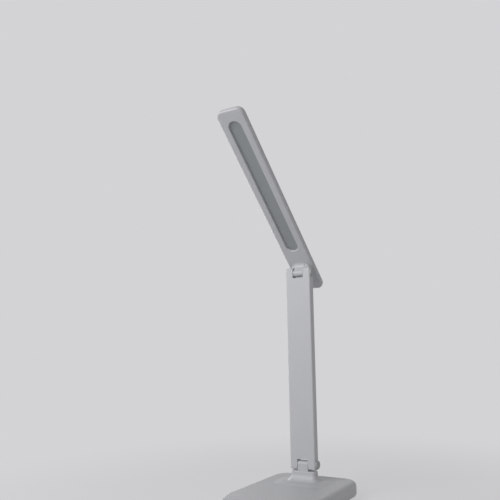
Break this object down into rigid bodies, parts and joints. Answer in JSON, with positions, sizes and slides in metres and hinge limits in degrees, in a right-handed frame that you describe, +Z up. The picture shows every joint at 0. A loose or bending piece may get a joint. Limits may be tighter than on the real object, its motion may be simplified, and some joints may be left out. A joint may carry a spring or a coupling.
{
  "type": "desk lamp",
  "caption": "Folding desk lamp: weighted base with a power key, flat arm forked at both ends, tilting slab head with a long diffuser window.",
  "frame": {"origin": "centre of the base's underside, on the table", "axes": "+Z up, -Y towards the user, +X to the user's right"},
  "size_m": [0.1, 0.1689, 0.3855],
  "materials": {
    "white_abs": "injection moulded, fine satin texture",
    "grey_abs": "injection moulded, satin",
    "key_abs": "injection moulded, satin",
    "switch_plastic": "moulded",
    "pad_rubber": "foamed sheet",
    "plain_steel": "rolled and zinc plated",
    "screw_steel": "zinc plated",
    "pin_steel": "turned and nickel plated",
    "washer_nylon": "punched sheet",
    "board_laminate": "solder mask",
    "lead_pvc": "extruded",
    "socket_steel": "drawn and nickel plated",
    "opal_acrylic": "satin opal sheet",
    "led_board_aluminium": "white solder mask",
    "led_package": "phosphor in a white package"
  },
  "bodies": {
    "base": {"base_shell": "white_abs", "base_bottom_cover": "grey_abs", "anti_slip_pad": "pad_rubber", "ballast_plate": "plain_steel", "ballast_screws": "screw_steel", "base_screws": "screw_steel", "control_board": "board_laminate", "board_screws": "screw_steel", "driver_parts": "switch_plastic", "base_lead": "lead_pvc", "tact_switch": "switch_plastic", "key_board": "board_laminate", "key_board_screws": "screw_steel", "power_inlet": "socket_steel", "inlet_tongue": "switch_plastic", "inlet_board": "board_laminate", "inlet_screws": "screw_steel"},
    "power_key": {"power_button": "key_abs", "switch_plunger": "switch_plastic"},
    "arm": {"arm_front_shell": "white_abs", "arm_rear_cover": "white_abs", "arm_screws": "screw_steel", "arm_stiffener": "plain_steel", "arm_lead": "lead_pvc", "lower_hinge_pin": "pin_steel", "lower_pin_cap": "grey_abs", "lower_pin_nut": "pin_steel", "lower_friction_washers": "washer_nylon", "upper_hinge_pin": "pin_steel", "upper_pin_cap": "grey_abs", "upper_pin_nut": "pin_steel", "upper_friction_washers": "washer_nylon"},
    "head": {"head_lower_frame": "white_abs", "head_upper_cover": "white_abs", "hinge_lug": "white_abs", "lug_screws": "screw_steel", "diffuser": "opal_acrylic", "led_board": "led_board_aluminium", "led_chips": "led_package", "head_lead": "lead_pvc"}
  },
  "joints": [
    {"name": "arm_fold", "type": "hinge", "parent": "base", "child": "arm", "pos_m": [0, 0.0325, 0.035], "axis": [1, 0, 0], "range_deg": [-30, 90]},
    {"name": "head_tilt", "type": "hinge", "parent": "arm", "child": "head", "pos_m": [0, 0.0325, 0.24], "axis": [1, 0, 0], "range_deg": [-46, 134]},
    {"name": "power_press", "type": "slide", "parent": "base", "child": "power_key", "axis": [0, 0.2983, -0.9545], "range_m": [0, 0.0006], "stiffness_N_per_m": 900, "springref_m": -0.0004}
  ]
}
